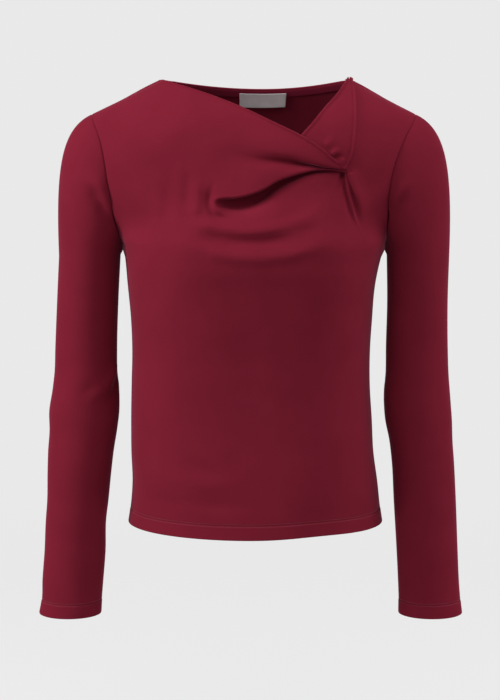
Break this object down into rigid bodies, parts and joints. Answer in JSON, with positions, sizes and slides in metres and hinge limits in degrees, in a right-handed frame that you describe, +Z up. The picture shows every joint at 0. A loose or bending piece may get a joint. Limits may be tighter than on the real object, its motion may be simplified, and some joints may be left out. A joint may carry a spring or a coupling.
{
  "type": "twist neck top",
  "caption": "Fitted long-sleeved jersey top with a slanted neckline gathered into a twist below one shoulder.",
  "frame": {"origin": "midway between the two high shoulder points, level with them, where the top rests on its wearer's shoulders", "axes": "+Z up along the wearer, the front faces -Y, +X is the wearer's left"},
  "size_m": [0.507, 0.2155, 0.6355],
  "materials": {
    "front": "smooth stretch jersey, burgundy, soft sheen",
    "back": "smooth stretch jersey, burgundy, soft sheen",
    "neck_strap": "smooth stretch jersey, burgundy, soft sheen",
    "sleeve_right": "smooth stretch jersey, burgundy, soft sheen",
    "sleeve_left": "smooth stretch jersey, burgundy, soft sheen",
    "neck_tape": "smooth stretch jersey, burgundy, soft sheen",
    "size_label": "woven satin label, blank"
  },
  "bodies": {
    "root": {"front": "front", "back": "back", "neck_strap": "neck_strap", "sleeve_right": "sleeve_right", "sleeve_left": "sleeve_left", "neck_tape": "neck_tape", "size_label": "size_label"}
  },
  "joints": []
}
